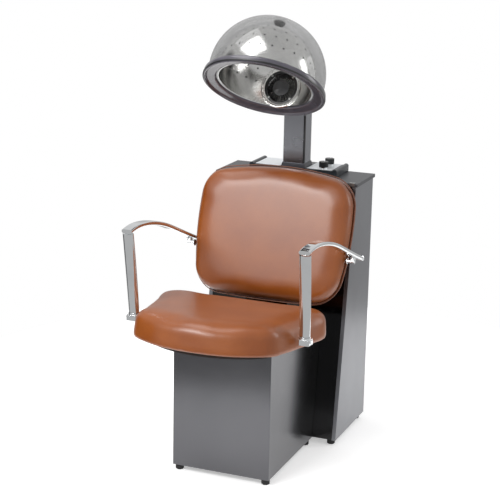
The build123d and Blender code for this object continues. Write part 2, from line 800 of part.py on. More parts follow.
def hood_screws():
    screws = []
    for k in range(4):
        head = Pos(49, 0, 133.0) * Cylinder(3.4, 1.8)
        stem = Pos(49, 0, 138.4) * Cylinder(1.5, 9)
        screws.append(blower_place(Rot(0, 0, 45 + k * 90) * (head + stem)))
        head = Pos(25.5, 0, HOUSING_END + 6.7) * Cylinder(3, 3.2)
        screws.append(blower_place(Rot(0, 0, 45 + 90 * k) * head))
    return Compound(children=screws)


def heater_ring():
    ring = Pos(0, 0, 186) * Torus(46, 2.5)
    for k in range(3):
        clip = Pos(50, 0, 186) * Box(4.6, 5, 8)
        ring += Rot(0, 0, k * 120) * clip
    return blower_place(ring)


def blower_motor():
    motor = disc(31, 186, 209)
    motor += disc(24, 183, 186)
    motor += disc(34, 209, HOUSING_END - 3.1)
    for k in range(8):
        slot = Pos(31, 0, 197) * Box(5, 9, 14)
        motor -= Rot(0, 0, k * 45) * slot
    motor -= disc(SHAFT_RADIUS + RUNNING_GAP, 178, 204)
    return blower_place(motor)


def motor_shaft():
    return blower_place(disc(SHAFT_RADIUS, 152, 203))


def impeller():
    hub = disc(9, 152, 180)
    plate = disc(42, 177, 179)
    fan = hub + plate
    for k in range(12):
        blade = Pos(29, 0, 165.5) * Rot(0, 0, 28) * Box(24, 1.6, 25)
        fan += Rot(0, 0, k * 30) * blade
    fan -= disc(SHAFT_RADIUS, 140, 190)
    return blower_place(fan)


def hood_yoke():
    flange = disc(30, HOUSING_END + 0.1, HOUSING_END + 5)
    yoke = blower_place(flange)
    arm = rod((-22.9, TILT_Y, TILT_Z), (22.9, TILT_Y, TILT_Z), 12)
    bar = blower_place(Pos(0, 0, (HOUSING_END + 5 + 246) / 2) * Box(45.8, 24, 246 - HOUSING_END - 5))
    yoke = yoke + bar + arm
    yoke -= rod((-40, TILT_Y, TILT_Z), (40, TILT_Y, TILT_Z), PIN_RADIUS + RUNNING_GAP)
    return yoke


# ---- mains entry ---------------------------------------------------------------------------
def mains_gland():
    y1 = TOWER_REAR - SHEET - 0.2
    body = Pos(-150, y1 + 4.2, 90) * Rot(90, 0, 0) * Cylinder(12, 8)
    neck = Pos(-150, y1 - 3, 90) * Rot(90, 0, 0) * Cylinder(8, 10)
    gland = body + neck
    gland -= Pos(-150, y1, 90) * Rot(90, 0, 0) * Cylinder(4, 60)
    return gland


# ---- everything, moved so that the origin is under the chair's centre -----------------------
PARTS = {
    "pedestal_shell": pedestal_shell(),
    "pedestal_top_plate": pedestal_top_plate(),
    "pedestal_base_frame": pedestal_base_frame(),
    "tower_side_left": tower_side(-1),
    "tower_side_right": tower_side(1),
    "tower_front_panel": tower_front_panel(),
    "tower_back_panel": tower_back_panel(),
    "tower_floor": tower_floor(),
    "tower_top_cover": tower_top_cover(),
    "cover_corner_clips": cover_corner_clips(),
    "rubber_feet": rubber_feet(),
    "seat_board": seat_board(),
    "seat_cushion": seat_cushion(),
    "frame_bolts": frame_bolts(),
    "back_cushion": back_cushion(),
    "back_board": back_board(),
    "back_supports": back_supports(),
    "arm_post_left": arm_post(-1),
    "arm_post_right": arm_post(1),
    "arm_rail_left": arm_rail(-1),
    "arm_rail_right": arm_rail(1),
    "arm_feet": arm_feet(),
    "arm_end_caps": arm_end_caps(),
    "rail_stand_offs": rail_stand_offs(),
    "arm_bolts": arm_bolts(),
    "console_tray": console_tray(),
    "console_ends": console_ends(),
    "label_plate_left": label_plate(-1),
    "label_plate_right": label_plate(1),
    "timer_body": control_body(KNOB_Y[0], 38),
    "thermostat_body": control_body(KNOB_Y[1], 30),
    "timer_shaft": control_shaft(KNOB_Y[0]),
    "thermostat_shaft": control_shaft(KNOB_Y[1]),
    "timer_knob": control_knob(KNOB_Y[0]),
    "thermostat_knob": control_knob(KNOB_Y[1]),
    "post_tube": post_tube(),
    "post_edge_strip": post_edge_strip(),
    "post_collar": post_collar(),
    "post_bushing": post_bushing(),
    "lock_screw": lock_screw(),
    "lock_knob": lock_knob(),
    "mast_tube": mast_tube(),
    "mast_slider": mast_slider(),
    "mast_head": mast_head(),
    "hinge_pin": hinge_pin(),
    "hood_dome": hood_dome(),
    "dome_vent_plug": dome_vent_plug(),
    "inner_bowl": inner_bowl(),
    "rim_ring": rim_ring(),
    "rim_trim": rim_trim(),
    "blower_housing": blower_housing(),
    "intake_grille": intake_grille(),
    "hood_screws": hood_screws(),
    "heater_ring": heater_ring(),
    "blower_motor": blower_motor(),
    "motor_shaft": motor_shaft(),
    "impeller": impeller(),
    "hood_yoke": hood_yoke(),
    "mains_gland": mains_gland(),
}

os.makedirs("parts", exist_ok=True)
for node, part in PARTS.items():
    solids = [Pos(0, DEPTH_SHIFT, 0) * solid for solid in part.solids()]
    shape = solids[0] if len(solids) == 1 else Compound(solids)
    export_step(shape, "parts/" + node + ".step")
print(len(PARTS), "parts written")
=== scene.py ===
import bpy
import bmesh
import math
from mathutils import Matrix, Vector


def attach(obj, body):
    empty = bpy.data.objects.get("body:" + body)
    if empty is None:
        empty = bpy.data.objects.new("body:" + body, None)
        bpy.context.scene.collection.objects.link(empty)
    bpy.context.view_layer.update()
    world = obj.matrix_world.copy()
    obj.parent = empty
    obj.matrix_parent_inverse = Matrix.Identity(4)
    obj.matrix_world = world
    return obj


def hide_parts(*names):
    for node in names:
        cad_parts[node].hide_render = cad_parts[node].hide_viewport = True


# Salon dryer chair: steel cabinet, vinyl seat and back, chromed arms, tilting hood on a mast.
# Metres. The sitter faces -Y, Z is up, the origin is on the floor under the middle of the chair.

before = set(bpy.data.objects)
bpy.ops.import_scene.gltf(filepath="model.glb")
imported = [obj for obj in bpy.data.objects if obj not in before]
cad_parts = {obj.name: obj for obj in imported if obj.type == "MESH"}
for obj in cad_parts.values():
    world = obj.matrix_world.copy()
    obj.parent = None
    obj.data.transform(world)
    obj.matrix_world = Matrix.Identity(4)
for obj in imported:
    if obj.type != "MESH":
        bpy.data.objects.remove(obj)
scene = bpy.context.scene
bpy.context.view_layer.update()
print("stage: frame loaded,", len(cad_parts), "parts")

backShift = 0.1619          # the working layout starts at the foot of the raked front panel
hoodPlace = Matrix.Translation((0, -0.0929 + backShift, 1.161)) @ Matrix.Rotation(math.radians(-33.2), 4, "X")
blowerPlace = hoodPlace @ Matrix.Translation((0, 0, 0.045)) @ Matrix.Rotation(math.radians(8.9 - 90), 4, "X")
seatPlace = Matrix.Translation((0, -0.1836 + backShift, 0.435)) @ Matrix.Rotation(math.radians(-4.3), 4, "X")
backPlace = Matrix.Translation((0, -0.09 + backShift, 0.499)) @ Matrix.Rotation(math.radians(-18), 4, "X")


# ---------- small helpers

def toLinear(hexColour):
    channels = [int(hexColour[i:i + 2], 16) / 255 for i in (1, 3, 5)]
    return tuple(c / 12.92 if c <= 0.04045 else ((c + 0.055) / 1.055) ** 2.4 for c in channels) + (1.0,)


def addNode(tree, kind, settings=None, links=None):
    node = tree.nodes.new(kind)
    for key, value in (settings or {}).items():
        if key == "stops":      # colour ramp: (place, colour) pairs
            ramp = node.color_ramp.elements
            while len(ramp) < len(value):
                ramp.new(1.0)
            for stop, (place, colour) in zip(ramp, value):
                stop.position = place
                stop.color = colour
        elif isinstance(key, int) or key in node.inputs:
            node.inputs[key].default_value = value
        else:
            setattr(node, key, value)
    for key, source in (links or {}).items():
        tree.links.new(source, node.inputs[key])
    return node


def grey(value):
    return (value, value, value, 1.0)


def startMaterial(name, surface):
    material = bpy.data.materials.new(name)
    material.use_nodes = True
    tree = material.node_tree
    tree.nodes.clear()
    shader = addNode(tree, "ShaderNodeBsdfPrincipled", surface)
    output = addNode(tree, "ShaderNodeOutputMaterial")
    tree.links.new(shader.outputs[0], output.inputs["Surface"])
    place = addNode(tree, "ShaderNodeTexCoord").outputs["Object"]
    return material, tree, shader, place


def mottled(tree, place, size, low, high, detail=3.0, stretch=(1, 1, 1), spread=(0.35, 0.65)):
    # a soft cloud between two colours; size in metres
    mapping = addNode(tree, "ShaderNodeMapping", {"Scale": stretch}, {"Vector": place})
    cloud = addNode(tree, "ShaderNodeTexNoise", {"Scale": 1 / size, "Detail": detail, "Roughness": 0.55},
                    {"Vector": mapping.outputs[0]})
    return addNode(tree, "ShaderNodeValToRGB", {"stops": [(spread[0], low), (spread[1], high)]},
                   {"Fac": cloud.outputs["Fac"]})


def finishPiece(name, mesh, material, body, replaced=(), sharpAngle=35):
    piece = bpy.data.objects.new(name, mesh)
    scene.collection.objects.link(piece)
    mesh.materials.clear()
    mesh.materials.append(material)
    mesh.shade_smooth()
    mesh.set_sharp_from_angle(angle=math.radians(sharpAngle))
    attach(piece, body)
    if replaced:
        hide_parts(*replaced)
    return piece


def meshFrom(bm, name, place=None, recalc=True):
    bmesh.ops.remove_doubles(bm, verts=bm.verts, dist=1e-6)
    if recalc:
        bmesh.ops.recalc_face_normals(bm, faces=bm.faces)
    if place is not None:
        bm.transform(place)
    mesh = bpy.data.meshes.new(name)
    bm.to_mesh(mesh)
    bm.free()
    return mesh


def addProfile(bm, points, closed):
    verts = [bm.verts.new((r, 0, z)) for r, z in points]
    edges = [bm.edges.new(pair) for pair in zip(verts, verts[1:])]
    if closed:
        edges.append(bm.edges.new((verts[-1], verts[0])))
    return verts + edges


def spinProfile(points, steps, closed=False, bm=None):
    # spins an (r, z) line about Z
    bm = bm or bmesh.new()
    geom = addProfile(bm, points, closed)
    bmesh.ops.spin(bm, geom=geom, cent=(0, 0, 0), axis=(0, 0, 1), dvec=(0, 0, 0), angle=2 * math.pi,
                   steps=steps, use_merge=True, use_duplicate=False)
    return bm


def smoothLine(points, count, closed=False):
    # a Catmull-Rom line through the points, evenly split
    line = []
    total = len(points)
    spans = total if closed else total - 1
    for i in range(spans):
        if closed:
            p0, p1, p2, p3 = (points[(i + k - 1) % total] for k in range(4))
        else:
            p0, p1 = points[max(i - 1, 0)], points[i]
            p2, p3 = points[i + 1], points[min(i + 2, total - 1)]
        for k in range(count):
            t = k / count
            line.append(tuple(
                0.5 * ((2 * b) + (c - a) * t + (2 * a - 5 * b + 4 * c - d) * t * t
                       + (3 * b - a - 3 * c + d) * t ** 3)
                for a, b, c, d in zip(p0, p1, p2, p3)))
    if not closed:
        line.append(tuple(points[-1]))
    return line


def mergedCopy(node, flat=True):
    bm = bmesh.new()
    bm.from_mesh(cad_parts[node].data)
    bmesh.ops.remove_doubles(bm, verts=bm.verts, dist=2e-6)
    if flat:
        bmesh.ops.dissolve_limit(bm, angle_limit=math.radians(0.4), verts=bm.verts, edges=bm.edges)
    return bm


def easedCopy(node, material, body, width=0.0006, segments=2, angle=28):
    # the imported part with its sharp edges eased, as bent and painted sheet or moulded plastic has
    bm = mergedCopy(node)
    edges = [e for e in bm.edges if len(e.link_faces) == 2 and e.calc_face_angle(0) > math.radians(angle)]
    bmesh.ops.bevel(bm, geom=edges, offset=width, offset_type="OFFSET", segments=segments, profile=0.5,
                    affect="EDGES", clamp_overlap=True, material=-1)
    mesh = meshFrom(bm, node + "Eased", recalc=False)
    piece = finishPiece(node + "Eased", mesh, material, body, (node,), 50)
    weighted = piece.modifiers.new("evenShading", "WEIGHTED_NORMAL")
    weighted.keep_sharp = True
    return piece


def paintNode(node, material):
    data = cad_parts[node].data
    data.materials.clear()
    data.materials.append(material)


# ---------- finishes

def makePaintedSteel(name, low, high, rough, coat, metallic):
    # powder-coated steel: even grey with fine metallic flake and a faint orange-peel surface
    material, tree, shader, place = startMaterial(name, {
        "Metallic": metallic, "Roughness": rough, "Coat Weight": coat, "Coat Roughness": 0.12})
    tone = mottled(tree, place, 0.35, toLinear(low), toLinear(high), 2.0, (1, 1, 0.6))
    # flake cells of 1.1 mm, coarser than real flake so that they show
    flake = addNode(tree, "ShaderNodeTexVoronoi", {"Scale": 900.0}, {"Vector": place})
    glint = addNode(tree, "ShaderNodeMapRange",
                    {"From Min": 0.0, "From Max": 1.0, "To Min": 0.985, "To Max": 1.015},
                    {"Value": flake.outputs["Color"]})
    mixed = addNode(tree, "ShaderNodeMix", {"data_type": "RGBA", "blend_type": "MULTIPLY", 0: 1.0},
                    {6: tone.outputs["Color"], 7: glint.outputs["Result"]})
    tree.links.new(mixed.outputs[2], shader.inputs["Base Color"])
    wear = addNode(tree, "ShaderNodeTexNoise", {"Scale": 14.0, "Detail": 5.0}, {"Vector": place})
    roughness = addNode(tree, "ShaderNodeMapRange", {"To Min": rough - 0.035, "To Max": rough + 0.045},
                        {"Value": wear.outputs["Fac"]})
    tree.links.new(roughness.outputs["Result"], shader.inputs["Roughness"])
    # orange peel with waves 2.4 mm apart
    peel = addNode(tree, "ShaderNodeTexNoise", {"Scale": 420.0, "Detail": 1.0}, {"Vector": place})
    bump = addNode(tree, "ShaderNodeBump", {"Strength": 0.012, "Distance": 0.0004},
                   {"Height": peel.outputs["Fac"]})
    tree.links.new(bump.outputs["Normal"], shader.inputs["Normal"])
    return material


def makePlastic(name, low, high, rough, grain, bumpStrength, coat=0.0):
    # moulded plastic: even colour, fine spark-eroded texture from the mould
    material, tree, shader, place = startMaterial(name, {"Roughness": rough, "IOR": 1.5, "Coat Weight": coat,
                                                         "Coat Roughness": 0.08})
    tone = mottled(tree, place, 0.05, toLinear(low), toLinear(high))
    tree.links.new(tone.outputs["Color"], shader.inputs["Base Color"])
    texture = addNode(tree, "ShaderNodeTexNoise", {"Scale": 1 / grain, "Detail": 2.0}, {"Vector": place})
    roughness = addNode(tree, "ShaderNodeMapRange", {"To Min": rough - 0.04, "To Max": rough + 0.05},
                        {"Value": texture.outputs["Fac"]})
    tree.links.new(roughness.outputs["Result"], shader.inputs["Roughness"])
    bump = addNode(tree, "ShaderNodeBump", {"Strength": bumpStrength, "Distance": 0.0004},
                   {"Height": texture.outputs["Fac"]})
    tree.links.new(bump.outputs["Normal"], shader.inputs["Normal"])
    return material


def makeMetal(name, colour, dark, rough, lineSize, stretch, bumpStrength, variation=0.05):
    # bare or plated metal: fine lines along the way it was polished or rolled, faint cloudy marks
    material, tree, shader, place = startMaterial(name, {"Metallic": 1.0, "Roughness": rough})
    tone = mottled(tree, place, 0.06, toLinear(dark), toLinear(colour), 4.0, (1, 1, 1), (0.2, 0.5))
    tree.links.new(tone.outputs["Color"], shader.inputs["Base Color"])
    mapping = addNode(tree, "ShaderNodeMapping", {"Scale": stretch}, {"Vector": place})
    lines = addNode(tree, "ShaderNodeTexNoise", {"Scale": 1 / lineSize, "Detail": 3.0},
                    {"Vector": mapping.outputs[0]})
    roughness = addNode(tree, "ShaderNodeMapRange",
                        {"To Min": max(rough - variation, 0.01), "To Max": rough + variation},
                        {"Value": lines.outputs["Fac"]})
    tree.links.new(roughness.outputs["Result"], shader.inputs["Roughness"])
    bump = addNode(tree, "ShaderNodeBump", {"Strength": bumpStrength, "Distance": 0.0003},
                   {"Height": lines.outputs["Fac"]})
    tree.links.new(bump.outputs["Normal"], shader.inputs["Normal"])
    return material


def makeVinyl(name, low, high, rough):
    # PVC leatherette: embossed pebble grain under a semi-gloss topcoat, slightly uneven colour, with painted
    # shade in the hollows between pebbles
    material, tree, shader, place = startMaterial(name, {
        "Roughness": rough, "IOR": 1.58, "Coat Weight": 0.12, "Coat Roughness": 0.3})
    tone = mottled(tree, place, 0.11, toLinear(low), toLinear(high), 4.0)
    # pebbles 1.8 mm across
    pebble = addNode(tree, "ShaderNodeTexVoronoi",
                     {"Scale": 560.0, "feature": "SMOOTH_F1", "Smoothness": 0.6}, {"Vector": place})
    pits = addNode(tree, "ShaderNodeTexNoise", {"Scale": 1100.0, "Detail": 2.0}, {"Vector": place})
    # painted shade: the colour darkens from each pebble's crown into the hollows between pebbles
    paintedHollowShade = addNode(tree, "ShaderNodeMapRange", {"From Max": 0.8, "To Min": 1.04, "To Max": 0.9},
                    {"Value": pebble.outputs["Distance"]})
    mixed = addNode(tree, "ShaderNodeMix", {"data_type": "RGBA", "blend_type": "MULTIPLY", 0: 1.0},
                    {6: tone.outputs["Color"], 7: paintedHollowShade.outputs["Result"]})
    tree.links.new(mixed.outputs[2], shader.inputs["Base Color"])
    grain = addNode(tree, "ShaderNodeMath", {"operation": "MULTIPLY_ADD", 1: -1.0},
                    {0: pebble.outputs["Distance"], 2: pits.outputs["Fac"]})
    bump = addNode(tree, "ShaderNodeBump", {"Strength": 0.10, "Distance": 0.0004},
                   {"Height": grain.outputs[0]})
    tree.links.new(bump.outputs["Normal"], shader.inputs["Normal"])
    return material


def makeSmokedAcrylic(name, tint, rough):
    # blow-moulded smoked acrylic: clear grey, glossy, a little haze and hairline wiping marks
    material, tree, shader, place = startMaterial(name, {
        "Base Color": toLinear(tint), "Transmission Weight": 1.0, "IOR": 1.3, "Roughness": rough})
    haze = addNode(tree, "ShaderNodeTexNoise", {"Scale": 26.0, "Detail": 4.0}, {"Vector": place})
    roughness = addNode(tree, "ShaderNodeMapRange",
                        {"From Min": 0.35, "From Max": 0.7, "To Min": rough, "To Max": rough + 0.03},
                        {"Value": haze.outputs["Fac"]})
    tree.links.new(roughness.outputs["Result"], shader.inputs["Roughness"])
    return material


def makeLabel(name, plate, print_):
    # satin anodised aluminium with fine printed scale lines
    material, tree, shader, place = startMaterial(name, {"Metallic": 0.35, "Roughness": 0.3})
    tone = mottled(tree, place, 0.02, toLinear(plate), toLinear(print_), 2.0, (1, 14, 1), (0.62, 0.9))
    tree.links.new(tone.outputs["Color"], shader.inputs["Base Color"])
    return material


finishes = {
    "pedestal": makePaintedSteel("powderCoatedSteelPedestal", "#5c5c5f", "#636366", 0.2, 0.03, 1.0),
    "tower": makePaintedSteel("powderCoatedSteelTower", "#828286", "#8d8e92", 0.33, 0.05, 1.0),
    "cover": makePaintedSteel("powderCoatedSteelCover", "#4f5053", "#5a5b5e", 0.42, 0.1, 0.7),
    "post": makePaintedSteel("powderCoatedSteelPost", "#8f9095", "#999aa0", 0.26, 0.05, 1.0),
    "postDark": makePaintedSteel("powderCoatedSteelCollar", "#3c3d42", "#484a50", 0.3, 0.3, 0.7),
    "glossBlack": makePlastic("glossAcrylicSheetBlack", "#020203", "#040405", 0.09, 0.004, 0.01, 0.0),
    "blackSteel": makePaintedSteel("blackEnamelledSteel", "#161617", "#1f1f21", 0.42, 0.1, 0.0),
    "blackPlastic": makePlastic("mouldedAbsBlack", "#141516", "#1e1f21", 0.42, 0.0012, 0.12),
    "consoleBlack": makePlastic("mouldedAbsConsole", "#1d2226", "#2a2f34", 0.3, 0.0012, 0.08, 0.2),
    "rubber": makePlastic("mouldedRubberBlack", "#0d0d0d", "#171717", 0.7, 0.001, 0.25),
    "knob": makePlastic("mouldedPhenolicBlack", "#16191a", "#222627", 0.34, 0.001, 0.1, 0.2),
    "grille": makePlastic("mouldedNylonBlack", "#101011", "#1a1a1c", 0.3, 0.001, 0.06, 0.3),
    "grilleHub": makePlastic("mouldedNylonGrey", "#3b3c3e", "#4c4d50", 0.28, 0.001, 0.06, 0.3),
    "rim": makePlastic("mouldedAbsRimGrey", "#46444c", "#524f58", 0.2, 0.0012, 0.04, 0.5),
    "trim": makePlastic("extrudedPvcBlack", "#0b0b0d", "#131315", 0.3, 0.001, 0.05, 0.3),
    "vinyl": makeVinyl("pvcLeatheretteCaramel", "#874414", "#924d19", 0.34),
    "vinylBoard": makeVinyl("pvcLeatheretteCaramelBoard", "#6e3715", "#7b401a", 0.4),
    "chrome": makeMetal("chromePlatedSteel", "#e9ebec", "#dfe1e3", 0.035, 0.004, (1, 1, 1), 0.004, 0.02),
    "aluminium": makeMetal("polishedAluminiumSpinning", "#e4e4e2", "#cfcfce", 0.19, 0.002, (1, 1, 6), 0.03,
                           0.04),
    "zinc": makeMetal("zincPlatedSteel", "#b4b6b4", "#8f9190", 0.34, 0.003, (1, 1, 1), 0.05),
    "satinSteel": makeMetal("satinSteelTube", "#a6a8aa", "#8f9193", 0.28, 0.0012, (1, 1, 0.03), 0.04),
    "heater": makeMetal("nichromeSheath", "#6c5a4c", "#4a3d35", 0.42, 0.002, (1, 1, 1), 0.06),
    "motor": makeMetal("rolledMotorSteel", "#83868a", "#63666a", 0.38, 0.0016, (1, 1, 8), 0.06),
    "dome": makeSmokedAcrylic("smokedAcrylicDome", "#ebebeb", 0.06),
    "pointer": makePlastic("printedPointerWhite", "#e8e9ea", "#f1f2f2", 0.4, 0.001, 0.03),
    "impeller": makePlastic("mouldedPolypropyleneWhite", "#cfcfc9", "#dcdcd6", 0.4, 0.001, 0.06),
    "label": makeLabel("anodisedAluminiumLabel", "#e9ecef", "#9aa0a6"),
}


def makePlywood(name, low, high):
    # birch plywood under a dark stain: long grain lines still show
    material, tree, shader, place = startMaterial(name, {"Roughness": 0.68})
    mapping = addNode(tree, "ShaderNodeMapping", {"Scale": (1, 0.06, 1)}, {"Vector": place})
    grain = addNode(tree, "ShaderNodeTexNoise", {"Scale": 260.0, "Detail": 4.0},
                    {"Vector": mapping.outputs[0]})
    tone = addNode(tree, "ShaderNodeValToRGB", {"stops": [(0.3, toLinear(low)), (0.7, toLinear(high))]},
                   {"Fac": grain.outputs["Fac"]})
    tree.links.new(tone.outputs["Color"], shader.inputs["Base Color"])
    bump = addNode(tree, "ShaderNodeBump", {"Strength": 0.15, "Distance": 0.0004},
                   {"Height": grain.outputs["Fac"]})
    tree.links.new(bump.outputs["Normal"], shader.inputs["Normal"])
    return material


finishes["plywood"] = makePlywood("stainedPlywoodBoard", "#1d130c", "#33221a")
print("stage: finishes ready,", len(finishes))


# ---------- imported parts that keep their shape

keptNodes = {
    "pedestal_top_plate": "pedestal", "pedestal_base_frame": "blackSteel", "tower_floor": "blackSteel",
    "cover_corner_clips": "zinc", "seat_board": "plywood", "frame_bolts": "zinc", "back_board": "vinylBoard",
    "back_supports": "blackSteel", "arm_bolts": "chrome", "timer_body": "zinc", "thermostat_body": "zinc",
    "timer_shaft": "chrome", "thermostat_shaft": "chrome", "post_edge_strip": "blackPlastic",
    "lock_screw": "zinc", "lock_knob": "blackPlastic", "mast_tube": "satinSteel",
    "mast_slider": "blackPlastic",
    "hinge_pin": "chrome", "hood_dome": "dome", "dome_vent_plug": "blackPlastic",
    "inner_bowl": "aluminium", "rim_trim": "trim", "blower_housing": "blackPlastic",
    "hood_screws": "zinc", "heater_ring": "heater", "blower_motor": "motor", "motor_shaft": "satinSteel",
    "impeller": "impeller", "mains_gland": "blackPlastic", "rubber_feet": "rubber",
    "arm_post_left": "chrome", "arm_post_right": "chrome", "arm_rail_left": "chrome",
    "arm_rail_right": "chrome",
    "rail_stand_offs": "chrome", "timer_knob": "knob", "thermostat_knob": "knob", "hood_yoke": "blackSteel",
}
for node, finish in keptNodes.items():
    paintNode(node, finishes[finish])

easedNodes = {
    "pedestal_shell": ("pedestal", "cabinet", "pedestal_grey", 0.0009),
    "tower_side_left": ("tower", "cabinet", "tower_grey", 0.0006),
    "tower_side_right": ("tower", "cabinet", "tower_grey", 0.0006),
    "tower_front_panel": ("glossBlack", "cabinet", "gloss_black_panel", 0.0004),
    "tower_back_panel": ("tower", "cabinet", "tower_grey", 0.0004),
    "tower_top_cover": ("cover", "cabinet", "cover_grey", 0.0005),
    "console_tray": ("consoleBlack", "cabinet", "console_black", 0.0008),
    "console_ends": ("consoleBlack", "cabinet", "console_black", 0.001),
    "label_plate_left": ("label", "cabinet", "label_white", 0.0003),
    "label_plate_right": ("label", "cabinet", "label_white", 0.0003),
    "post_tube": ("post", "cabinet", "post_grey", 0.0006),
    "post_collar": ("postDark", "cabinet", "post_grey_dark", 0.0009),
    "post_bushing": ("blackPlastic", "cabinet", "black_plastic", 0.0008),
    "mast_head": ("blackSteel", "mast", "black_steel", 0.001),
    "arm_feet": ("chrome", "cabinet", "chrome", 0.0016),
    "arm_end_caps": ("chrome", "cabinet", "chrome", 0.0012),
}
for node, (finish, body, slot, width) in easedNodes.items():
    easedCopy(node, finishes[finish], body, width)
print("stage: sheet metal and plastics eased,", len(easedNodes))


# ---------- cushions: a stuffed vinyl cover swells over its foam

# metres; held: the cover stays put where this is true of a point in the cushion's own axes
seatPad = {"place": seatPlace, "voxel": 0.006, "shrink": 0.003, "pressure": 3.6, "cap": 0.012, "relax": 36,
           "held": lambda point: point.z < 0.006}
backPad = {"place": backPlace, "voxel": 0.006, "shrink": 0.0025, "pressure": 3.0, "cap": 0.010, "relax": 30,
           "held": lambda point: point.y > 0.046}
cover = {"stiffness": 18.0, "quality": 5, "frames": 20, "roundPasses": 4, "smoothPasses": 3, "fill": 0.8}


def evaluatedMesh(piece, name):
    bpy.context.view_layer.update()
    evaluated = piece.evaluated_get(bpy.context.evaluated_depsgraph_get())
    return bpy.data.meshes.new_from_object(evaluated, preserve_all_data_layers=False)


def smoothVerts(bm, passes):
    for turn in range(passes):
        bmesh.ops.smooth_vert(bm, verts=bm.verts, factor=0.5, use_axis_x=True, use_axis_y=True,
                              use_axis_z=True)


def evenedOut(moves, edges, passes):
    # a taut cover: the swell is shared between neighbouring points
    for turn in range(passes):
        sums, counts = [Vector() for _ in moves], [0] * len(moves)
        for edge in edges:
            a, b = edge.vertices
            sums[a] += moves[b]
            sums[b] += moves[a]
            counts[a] += 1
            counts[b] += 1
        moves = [move * 0.4 + total * (0.6 / max(count, 1))
                 for move, total, count in zip(moves, sums, counts)]
    return moves


def inflated(name, mesh, pad):
    # the cover under air pressure; the cap keeps any point from running away
    draft = bpy.data.objects.new(name + "Cover", mesh)
    scene.collection.objects.link(draft)
    undo = pad["place"].inverted()
    held = draft.vertex_groups.new(name="held")
    held.add([v.index for v in mesh.vertices if pad["held"](undo @ v.co)], 1.0, "REPLACE")
    start = [v.co.copy() for v in mesh.vertices]
    cloth = draft.modifiers.new("swell", "CLOTH")
    cloth.settings.use_pressure = True
    cloth.settings.uniform_pressure_force = pad["pressure"]
    cloth.settings.effector_weights.gravity = 0.0
    cloth.settings.vertex_group_mass = "held"
    cloth.settings.tension_stiffness = cover["stiffness"]
    cloth.settings.compression_stiffness = cover["stiffness"]
    cloth.settings.quality = cover["quality"]
    cloth.point_cache.frame_end = cover["frames"]
    for step in range(1, cover["frames"] + 1):
        scene.frame_set(step)
    swollen = evaluatedMesh(draft, name)
    bpy.data.objects.remove(draft)
    moves = [vert.co - rest for vert, rest in zip(swollen.vertices, start)]
    moves = [move * min(1.0, pad["cap"] / max(move.length, 1e-9)) for move in moves]
    moves = evenedOut(moves, swollen.edges, pad["relax"])
    for vert, rest, move in zip(swollen.vertices, start, moves):
        vert.co = rest + move
    scene.frame_set(1)
    return swollen


def plumpCushion(name, node, pad):
    bm = mergedCopy(node, flat=False)
    draft = bpy.data.objects.new(name + "Draft", meshFrom(bm, name + "Draft", recalc=False))
    scene.collection.objects.link(draft)
    remesh = draft.modifiers.new("evenMesh", "REMESH")
    remesh.mode, remesh.voxel_size = "VOXEL", pad["voxel"]
    mesh = evaluatedMesh(draft, name)
    bpy.data.objects.remove(draft)
    bm = bmesh.new()
    bm.from_mesh(mesh)
    smoothVerts(bm, cover["roundPasses"])
    bm.normal_update()
    for vert in bm.verts:
        vert.co -= vert.normal * pad["shrink"]
    bm.to_mesh(mesh)
    bm.free()
    mesh = inflated(name, mesh, pad)
    bm = bmesh.new()
    bm.from_mesh(mesh)
    smoothVerts(bm, cover["smoothPasses"])
    piece = finishPiece(name, meshFrom(bm, name, recalc=False), finishes["vinyl"], "cabinet",
                        (node,), 180)
    smoother = piece.modifiers.new("fineMesh", "SUBSURF")
    smoother.levels = smoother.render_levels = 1


welt = {"level": (0, 0.0445, 0), "across": (0, 1, 0), "radius": 0.0016, "weld": 1e-4, "mostPoints": 4000}


def buildBackWelt():
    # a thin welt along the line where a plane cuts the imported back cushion
    name = "backPadWelt"
    bm = mergedCopy("back_cushion", flat=False)
    bm.transform(backPlace.inverted())
    bmesh.ops.bisect_plane(bm, geom=bm.verts[:] + bm.edges[:] + bm.faces[:], plane_co=welt["level"],
                           plane_no=welt["across"], clear_inner=True, clear_outer=True)
    bmesh.ops.remove_doubles(bm, verts=bm.verts, dist=welt["weld"])
    start = bm.verts[:][0]
    line, last, here = [start.co.copy()], None, start
    while True:
        onward = [e.other_vert(here) for e in here.link_edges if e.other_vert(here) != last]
        if not onward or onward[0] == start or len(line) > welt["mostPoints"]:
            break
        last, here = here, onward[0]
        line.append(here.co.copy())
    bm.free()
    curve = bpy.data.curves.new(name, "CURVE")
    curve.dimensions = "3D"
    curve.bevel_depth, curve.bevel_resolution = welt["radius"], 3
    spline = curve.splines.new("POLY")
    spline.points.add(len(line) - 1)
    for point, co in zip(spline.points, line):
        point.co = (*(backPlace @ co), 1.0)
    spline.use_cyclic_u = True
    draft = bpy.data.objects.new(name + "Draft", curve)
    scene.collection.objects.link(draft)
    mesh = evaluatedMesh(draft, name)
    bpy.data.objects.remove(draft)
    finishPiece(name, mesh, finishes["vinylBoard"], "cabinet", (), 60)


plumpCushion("seatPadCover", "seat_cushion", seatPad)
plumpCushion("backPadCover", "back_cushion", backPad)
buildBackWelt()
print("stage: cushions and welts made")


# ---------- hood: rim, grille and its polished collar

# radius and height above the rim's plane in mm, round the whole section
rimShape = {"profile": [(150.0, 7.6), (151.6, 4.2), (156.0, 2.6), (166.0, 1.4), (176.0, 0.2), (180.0, -1.4),
                        (182.4, -4.0), (184.6, -5.6), (187.2, -5.2), (189.2, -2.6), (190.0, 2.0),
                        (190.0, 9.0), (189.0, 13.5), (186.0, 16.2), (181.0, 17.2), (178.4, 16.4),
                        (178.4, 10.6), (172.0, 9.6), (160.0, 8.8), (152.0, 8.4)],
            "steps": 180, "detail": 3}


